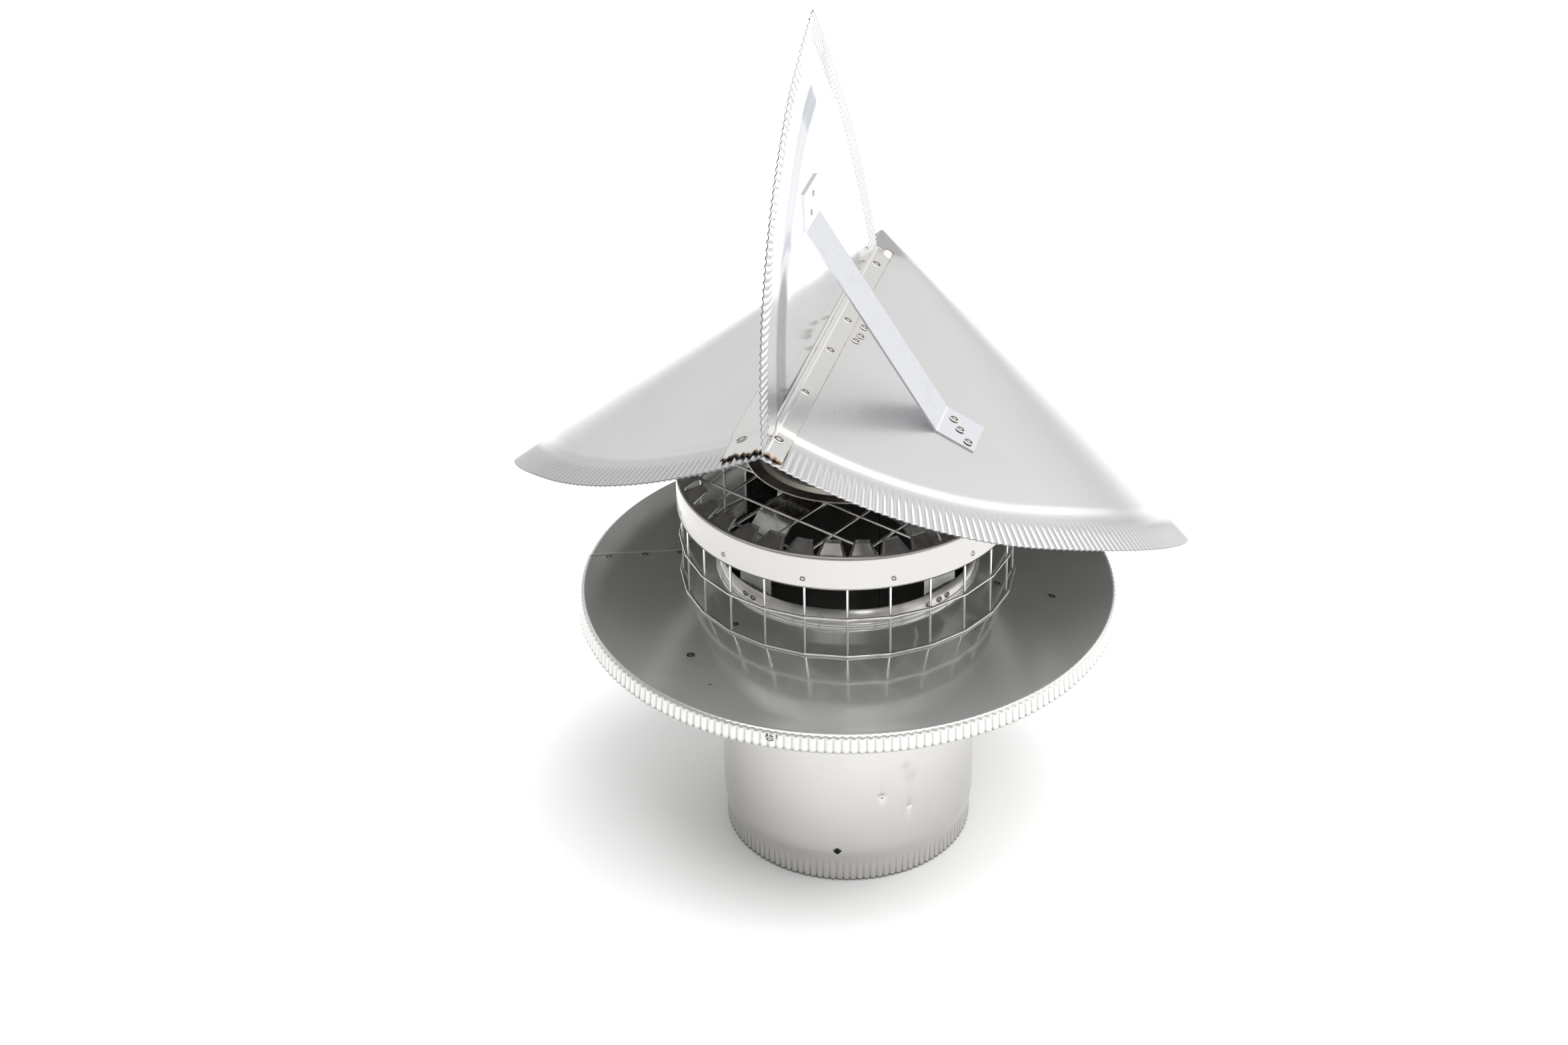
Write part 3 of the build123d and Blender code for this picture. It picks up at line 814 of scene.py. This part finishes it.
def vane_spot(column, row):
    share = column / (vane_columns - 1) * 0.9995
    turn = [first + (last - first) * share for first, last in (front_turns, rear_turns)]
    front = front_centre + Vector((math.cos(turn[0]), math.sin(turn[0]))) * front_bow
    rear = rear_centre + Vector((math.cos(turn[1]), math.sin(turn[1]))) * rear_bow
    across = rear - front
    scale = across.length / 2 / (vane_insets[-1] + 0.004)
    if row < len(vane_insets):
        flat = front + across.normalized() * vane_insets[row] * scale
    else:
        flat = rear - across.normalized() * vane_insets[2 * len(vane_insets) - 1 - row] * scale
    out_front, out_rear = flat - front_centre, flat - rear_centre
    inside = front_bow - out_front.length, rear_bow - out_rear.length
    if inside[0] < inside[1]:
        along = abs(math.atan2(out_front.y, -out_front.x)) * front_bow
    else:
        along = abs(math.atan2(out_rear.y, out_rear.x)) * rear_bow
    crimp = ramp(min(inside), 0.0148, 0.0095) * ramp(flat.y, 0.0, 0.004)
    strip = vane_bead - vane_bead_width
    ends = [ramp(far, strip - 0.001, strip + 0.001) for far in inside]
    # Painted shade: a darker band along each bead's step, stronger along the front edge; the very edge is
    # darker too.
    track = in_bead_shade(inside[0]) * 0.66 * ends[1] + in_bead_shade(inside[1]) * 0.27 * ends[0]
    return on_vane(flat), along, crimp, max(track, ramp(min(inside), 0.0005, 0.0) * 0.85)


vane_sheet = mill_sheet("vane_sheet", (0.76, 0.76, 0.765), 0.09, 0.07, 0.0004)
vane = sheet_blank("vane_sheet", vane_columns, 2 * len(vane_insets), vane_spot, (-1, 0, 0.4))
worked(vane, crimping, {"Pitch": vane_pitch, "Depth": vane_rib_depth, "Metal": vane_sheet}, SHEET, 0.0)
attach(vane, "hood")
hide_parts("vane")


# ---- Vane foot ----
# The vane's lower edge is bent out to a flange that lies on the right wing and is spot welded to it.
# It runs from the front of the vane to its rear, and both its ends are ragged and a little burnt.
foot_width = 0.0125
foot_columns = 170
foot_profile = [(0.0, 0.006), (0.0, 0.0035), (0.0, 0.0022), (0.0004, 0.0012), (0.0012, 0.0006)]
foot_start, foot_end = apex.y - vane_rear, apex.y - vane_front - 0.004
foot_ragged = [burner.uniform(-0.0007, 0.0007) for row in range(20)]


def foot_spot(column, row):
    share = column / (foot_columns - 1)
    ahead = foot_start + (foot_end - foot_start) * share
    ahead += foot_ragged[row] * ramp(abs(share - 0.5), 0.47, 0.5)
    curl = 0.0016 * ramp(share, 0.035, 0.0) * ramp(row, 5, 12)
    wave = 0.0005 * math.sin(row * 1.3) * ramp(abs(share - 0.5), 0.485, 0.5)
    if row < len(foot_profile):
        across, above = foot_profile[row]
        point = on_wing(1, ahead, across, SHEET * 1.3)
        return point + vane_up * above + Vector((0.0006, 0, 0)), 0, 0
    down = 0.0022 + (foot_width - 0.0022) * min((row - len(foot_profile)) / 8.5, 1)
    sheared = (row == len(foot_profile) + 9) * 0.6
    burnt = max(ramp(share, 0.985, 1.0) * 0.8, ramp(share, 0.012, 0.0) * 0.5, sheared)
    return on_wing(1, ahead, down, SHEET * 1.3 + curl + wave), 0, burnt


foot = sheet_blank("vane_foot", foot_columns, len(foot_profile) + 10, foot_spot, (0, 0, -1))
worked(foot, crimping, {"Pitch": 1.0, "Depth": 0.0, "Metal": seam_sheet}, SHEET, 0.0)
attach(foot, "hood")


# ---- Brace ----
# A flat strap bent at both ends, its grain running along it. One end is welded to the vane's right face and
# the other to the right wing, and it keeps the vane upright in the wind.
coat("vane_brace", strap_metal("brace_strap", (0.69, 0.7, 0.73), 0.2))


# ---- Spot welds ----
# Each weld leaves a round mark of the electrode: a shallow dished ring, tinted brown round a paler middle.
mark_rings = ((0.0, 0.00003), (0.3, 0.00004), (0.5, 0.0001), (0.64, 0.00022), (0.78, 0.00018))
mark_rings += ((0.9, 0.00008), (1.0, 0.0))
mark_sides = 20


def electrode_mark():
    """The mark of one weld, of radius 1 mm, lying flat, with its share of the radius kept as "ring"."""
    points = [(0, 0, mark_rings[0][1])]
    shares = [0.0]
    for share, height in mark_rings[1:]:
        for side in range(mark_sides):
            turn = math.tau * side / mark_sides
            points.append((0.001 * share * math.cos(turn), 0.001 * share * math.sin(turn), height))
            shares.append(share)
    faces = [(0, 1 + side, 1 + (side + 1) % mark_sides) for side in range(mark_sides)]
    for ring in range(len(mark_rings) - 2):
        start = 1 + ring * mark_sides
        for side in range(mark_sides):
            here, there = start + side, start + (side + 1) % mark_sides
            faces.append((here, here + mark_sides, there + mark_sides, there))
    mark = as_object("electrode_mark", points, faces)
    ring = mark.data.attributes.new("ring", "FLOAT", "POINT")
    ring.data.foreach_set("value", shares)
    mark.data.shade_smooth()
    return mark


def marking_tree():
    """Sets a mark on each point, facing along "facing", as wide as "size" says."""
    inputs = {"Points": "Geometry", "Mark": "Object", "Metal": "Material"}
    tree, paper, (points, mark, metal) = group("marking", inputs)
    named = "GeometryNodeInputNamedAttribute"
    facing = paper.add(named, {"data_type": "FLOAT_VECTOR"}, {"Name": "facing"})
    size = paper.add(named, {"data_type": "FLOAT_VECTOR"}, {"Name": "size"})
    turn = paper.add("FunctionNodeAlignRotationToVector", {"axis": "Z"}, {"Vector": facing})
    shape = paper.add("GeometryNodeObjectInfo", {}, {"Object": mark}, output="Geometry")
    sockets = {"Points": points, "Instance": shape, "Rotation": turn, "Scale": size}
    return finish_tree(tree, paper, paper.add("GeometryNodeInstanceOnPoints", {}, sockets), metal)


def weld_metal(name, sheet_tone, dark):
    """Heat tint of a spot weld: a paler middle, a brown ring, and the plain sheet at its outer edge."""
    metal, shader, paper, place = bare_metal(name)
    ring = paper.add("ShaderNodeAttribute", {"attribute_name": "ring"}, output="Fac")
    patch = paper.add("ShaderNodeTexNoise", {}, {"Vector": place, "Scale": 700, "Detail": 3})
    spread = ring + (patch - 0.5) * 0.25
    pale = tuple(c * 0.8 for c in sheet_tone)
    brown = tuple(c * dark for c in (0.3, 0.21, 0.15))
    stops = [(0.0, pale), (0.34, pale), (0.52, brown)]
    stops += [(0.7, tuple(c * 1.3 for c in brown)), (0.95, sheet_tone)]
    paper.add("ShaderNodeValToRGB", {"stops": stops}, {"Fac": spread}).feed(shader, "Base Color")
    (0.26 + patch * 0.12).feed(shader, "Roughness")
    return metal


marking = marking_tree()


def spot_welds(name, body, metal, welds, size):
    """Welds on one body: each is a point, the way that the sheet faces there, and its size beside the rest."""
    mark = electrode_mark()
    points = as_object(name, [point + facing.normalized() * 0.00004 for point, facing, share in welds], [])
    facings = points.data.attributes.new("facing", "FLOAT_VECTOR", "POINT")
    facings.data.foreach_set("vector", [c for point, facing, share in welds for c in facing.normalized()])
    sizes = points.data.attributes.new("size", "FLOAT_VECTOR", "POINT")
    widths = [(size * share, size * share * 0.8, 1) for point, facing, share in welds]
    sizes.data.foreach_set("vector", [c for width in widths for c in width])
    worked(points, marking, {"Mark": mark, "Metal": metal})
    bpy.data.objects.remove(mark)
    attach(points, body)


def wing_weld(side, x, y, lift, share=1.0):
    """A weld on a wing at x and y, lying on pieces of sheet that raise it by lift."""
    down, out = wing_frame(side)
    ahead = (apex.y - y) / math.cos(ridge_fall)
    return on_wing(side, ahead, abs(x) / abs(down.x), lift), out, share


def plate_weld(radius, azimuth, share=1.0):
    """A weld on the base plate, or on its lap beside the seam."""
    lap = SHEET * 1.15 * (1 - ramp(azimuth - plate_seam, 0, 30)) * (azimuth > plate_seam)
    height = plate_collar_height - plate_slope * (radius - collar_radius) + lap + 0.0002
    return around(azimuth, radius, height), around(azimuth, plate_slope, 1.0), share


dark_weld = weld_metal("dark_weld", (0.6, 0.6, 0.585), 0.35)
warm_weld = weld_metal("warm_weld", (0.64, 0.635, 0.62), 0.4)
weld_turn = 16.5  # the welds' azimuths start from here
plate_welds = [plate_weld(r, az + weld_turn, share) for r, az, share in (
    (0.128, -46.9, 1.0), (0.094, -46.1, 0.9), (0.141, -35.5, 0.4), (0.125, 75.3, 0.9), (0.092, 73.6, 0.9),
    (0.148, -99.6, 0.9), (0.125, -99.4, 0.9), (0.103, -99.0, 0.9), (0.128, 150, 1.0), (0.095, 152, 0.9),
    (0.127, -152, 1.0), (0.094, -154, 0.9))]
# One more mark is no weld but a burr on the rim, at the front.
plate_welds.append((around(-0.6, plate_radius + 0.0012, 0.1655), around(-0.6, 1, -0.3), 0.9))
spot_welds("base_plate_welds", "base", dark_weld, plate_welds, 2.9)
band_welds = [
    (around(weld_turn + azimuth, band_radius + 0.0003, 0.2352), around(weld_turn + azimuth, 1, 0), 1.0)
    for azimuth in (-166, -136, -106, -76, -46, -16, 13.5, 43.5, 74, 104, 134, 164)]
spot_welds("top_band_welds", "base", warm_weld, band_welds, 2.0)
collar_welds = [
    (around(weld_turn + azimuth, collar_radius + 0.0001, 0.1935), around(weld_turn + azimuth, 1, 0), 1.0)
    for azimuth in (-52, -47, 36, 42, 47, 128, 133, 216, 222, 227)]
spot_welds("collar_strap_welds", "base", dark_weld, collar_welds, 2.6)
seam_lift = SHEET * 1.85
hood_welds = [wing_weld(-1, -0.0175, -0.1518, seam_lift, 1.25), wing_weld(-1, -0.014, -0.095, seam_lift),
              wing_weld(-1, -0.014, -0.035, seam_lift), wing_weld(-1, -0.013, 0.02, seam_lift)]
hood_welds += [wing_weld(1, x, y, SHEET * 1.85, share) for x, y, share in (
    (0.0045, -0.157, 1.15), (0.005, -0.108, 0.9), (0.0062, -0.060, 1.0), (0.0068, -0.025, 0.95),
    (0.0062, 0.042, 1.0))]
hood_welds += [wing_weld(1, x, y, SHEET * 0.55, 0.85) for x, y in (
    (0.0158, -0.0219), (0.0164, -0.0313), (0.0152, -0.038))]
hood_welds += [wing_weld(-1, x, y, SHEET * 0.55, 0.85) for x, y in ((-0.0305, -0.0219), (-0.0305, -0.034))]
brace_low = 0.0012 + SHEET * 0.55
tab_face = vane_base + vane_out * (SHEET / 2 + 0.0013)
for back, up in ((-0.062, 0.096), (-0.067, 0.087)):
    hood_welds.append((tab_face - ridge_forward * back + vane_up * up, vane_out, 0.7))
hood_welds += [wing_weld(1, x, y, brace_low, 0.95) for x, y in (
    (0.0769, -0.0598), (0.0819, -0.066), (0.0881, -0.0729))]
spot_welds("hood_welds", "hood", warm_weld, hood_welds, 3.0)


# ---- Studio ----
# A plain pale floor, a bright white room and one soft light over the cap. The floor lies a hair below the
# spigot's rim, so that the two don't share a plane.
floor_half, hair = 60, 0.0004
floor_corners = [(x * floor_half, y * floor_half, -hair) for x, y in ((-1, -1), (1, -1), (1, 1), (-1, 1))]
floor = as_object("floor", floor_corners, [(0, 1, 2, 3)])
paint = bpy.data.materials.new("floor_paint")
paint.use_nodes = True
pale = paint.node_tree.nodes["Principled BSDF"]
pale.inputs["Base Color"].default_value = (0.97, 0.97, 0.97, 1)
pale.inputs["Roughness"].default_value = 0.9
floor.data.materials.append(paint)
floor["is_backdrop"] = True


def white_room():
    """White all round: brightest overhead, at the far side and in a window at the right, and dimmer in a belt
    half way up and below the floor."""
    room = bpy.data.worlds.new("room")
    room.use_nodes = True
    bpy.context.scene.world = room
    sky = room.node_tree.nodes["Background"]
    sky.inputs["Color"].default_value = (1, 1, 1, 1)
    paper = Wire(room.node_tree)
    way = paper.add("ShaderNodeTexCoord", output="Generated")
    x, y, z = (paper.add("ShaderNodeSeparateXYZ", {}, {0: way}, output=axis) for axis in "XYZ")
    far_side = y.between(-0.25, 0.45)
    overhead = z.between(0.8, 0.95)
    shade = z.between(0.53, 0.66) * (1 - z.between(0.76, 0.86)) + (1 - z.between(0.0, 0.12))
    right_window = (x * 0.88 + y * 0.25 + z * 0.4).between(0.62, 0.9)
    (0.5 + far_side * 0.52 + overhead * 0.9 + right_window * 0.7 - shade * 0.3).feed(sky, "Strength")


white_room()


def soft_light(name, place, aim, size, power):
    lamp = bpy.data.lights.new(name, "AREA")
    lamp.size = size
    lamp.energy = power
    holder = bpy.data.objects.new(name, lamp)
    bpy.context.scene.collection.objects.link(holder)
    holder.location = place
    holder.rotation_mode = "QUATERNION"
    holder.rotation_quaternion = (Vector(aim) - Vector(place)).to_track_quat("-Z", "Y")


soft_light("key", (0.45, -0.2, 2.2), (0, 0, 0.25), 2.4, 66)

camera = bpy.data.objects.new("camera", bpy.data.cameras.new("camera"))
bpy.context.scene.collection.objects.link(camera)
camera.location = (0.4081, -1.5116, 1.1864)
gaze = Vector((-0.0365, -0.0108, 0.212)) - camera.location
camera.rotation_mode = "QUATERNION"
camera.rotation_quaternion = gaze.to_track_quat("-Z", "Y") @ Quaternion((0, 0, 1), math.radians(-0.885))
camera.data.lens = 70.7
bpy.context.scene.camera = camera
bpy.context.scene.view_settings.view_transform = "Standard"

low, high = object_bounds()
